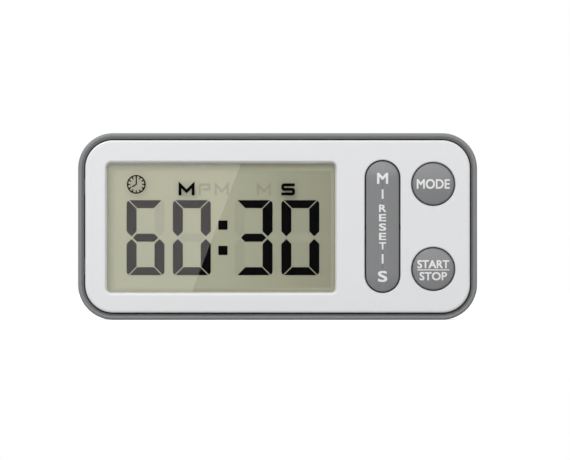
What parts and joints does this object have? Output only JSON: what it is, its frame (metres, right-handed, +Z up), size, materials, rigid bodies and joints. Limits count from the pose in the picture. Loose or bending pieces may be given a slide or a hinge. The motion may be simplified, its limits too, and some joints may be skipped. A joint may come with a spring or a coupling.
{
  "type": "digital kitchen timer",
  "caption": "Slim upright digital timer with a large display, a rocking minute and second key, round keys, a folding stand and magnets on its back.",
  "frame": {"origin": "middle of the flat lower edge that the timer stands on, centred front to back", "axes": "+Z up, +X to the right seen from the front, the display faces -Y; the stand is folded at rest"},
  "size_m": [0.1, 0.0192, 0.0468],
  "materials": {
    "white_plastic": "fine matt texture",
    "grey_plastic": "fine matt texture",
    "key_plastic": "satin",
    "clear_lens": "polished",
    "lcd_film": "satin",
    "lcd_glass": "polished",
    "lcd_reflector": "satin",
    "lcd_segment": "satin",
    "legend_print": "screen print",
    "grey_rubber": "matt",
    "carbon_rubber": "matt",
    "board_laminate": "solder mask",
    "black_epoxy": "cast",
    "bright_steel": "bright",
    "buzzer_brass": "bright",
    "piezo_ceramic": "matt",
    "red_lead": "satin",
    "black_lead": "satin",
    "cell_sleeve": "gloss",
    "magnet_plating": "bright",
    "screw_steel": "black oxide"
  },
  "bodies": {
    "case": {"front_shell": "white_plastic", "rear_case": "grey_plastic", "display_lens": "clear_lens", "lcd_front_polarizer": "lcd_film", "lcd_front_glass": "lcd_glass", "lcd_rear_glass": "lcd_glass", "lcd_reflector": "lcd_reflector", "zebra_strip": "grey_rubber", "circuit_board": "board_laminate", "chip_blob": "black_epoxy", "crystal_can": "bright_steel", "filter_capacitor": "black_epoxy", "resistor_1": "black_epoxy", "resistor_2": "black_epoxy", "rubber_keypad": "grey_rubber", "buzzer_disc": "buzzer_brass", "buzzer_ceramic": "piezo_ceramic", "buzzer_lead_red": "red_lead", "buzzer_lead_black": "black_lead", "battery": "cell_sleeve", "battery_contact": "bright_steel", "spring_contact": "bright_steel", "battery_spring": "bright_steel", "battery_lead_red": "red_lead", "battery_lead_black": "black_lead", "magnet_left": "magnet_plating", "magnet_right": "magnet_plating", "case_screw_1": "screw_steel", "case_screw_2": "screw_steel", "case_screw_3": "screw_steel", "case_screw_4": "screw_steel"},
    "mode_button": {"mode_button": "key_plastic", "carbon_pill_mode": "carbon_rubber"},
    "start_stop_button": {"start_stop_button": "key_plastic", "carbon_pill_start_stop": "carbon_rubber"},
    "rocker_pin": {"rocker_pin": "bright_steel"},
    "minute_second_key": {"minute_second_key": "key_plastic", "carbon_pill_minute": "carbon_rubber", "carbon_pill_second": "carbon_rubber"},
    "kickstand": {"kickstand": "grey_plastic"},
    "battery_door": {"battery_door": "grey_plastic"}
  },
  "joints": [
    {"name": "mode_press", "type": "slide", "parent": "case", "child": "mode_button", "axis": [0, 1, 0], "range_m": [0, 0.0008], "stiffness_N_per_m": 1500, "deforming": ["rubber_keypad"]},
    {"name": "start_stop_press", "type": "slide", "parent": "case", "child": "start_stop_button", "axis": [0, 1, 0], "range_m": [0, 0.0008], "stiffness_N_per_m": 1500, "deforming": ["rubber_keypad"]},
    {"name": "reset_press", "type": "slide", "parent": "case", "child": "rocker_pin", "axis": [0, 1, 0], "range_m": [0, 0.0005], "stiffness_N_per_m": 2500, "deforming": ["rubber_keypad"]},
    {"name": "minute_second_rock", "type": "hinge", "parent": "rocker_pin", "child": "minute_second_key", "pos_m": [0.0263, -0.0055, 0.0234], "axis": [1, 0, 0], "range_deg": [-2.5, 2.5], "stiffness_Nm_per_rad": 0.55, "deforming": ["rubber_keypad"]},
    {"name": "kickstand_fold", "type": "hinge", "parent": "case", "child": "kickstand", "pos_m": [-0.007, 0.0081, 0.025], "axis": [1, 0, 0], "range_deg": [0, 60]},
    {"name": "battery_door_open", "type": "hinge", "parent": "case", "child": "battery_door", "pos_m": [-0.0451, 0.0096, 0.0344], "axis": [0, 0, 1], "range_deg": [0, 70]}
  ]
}
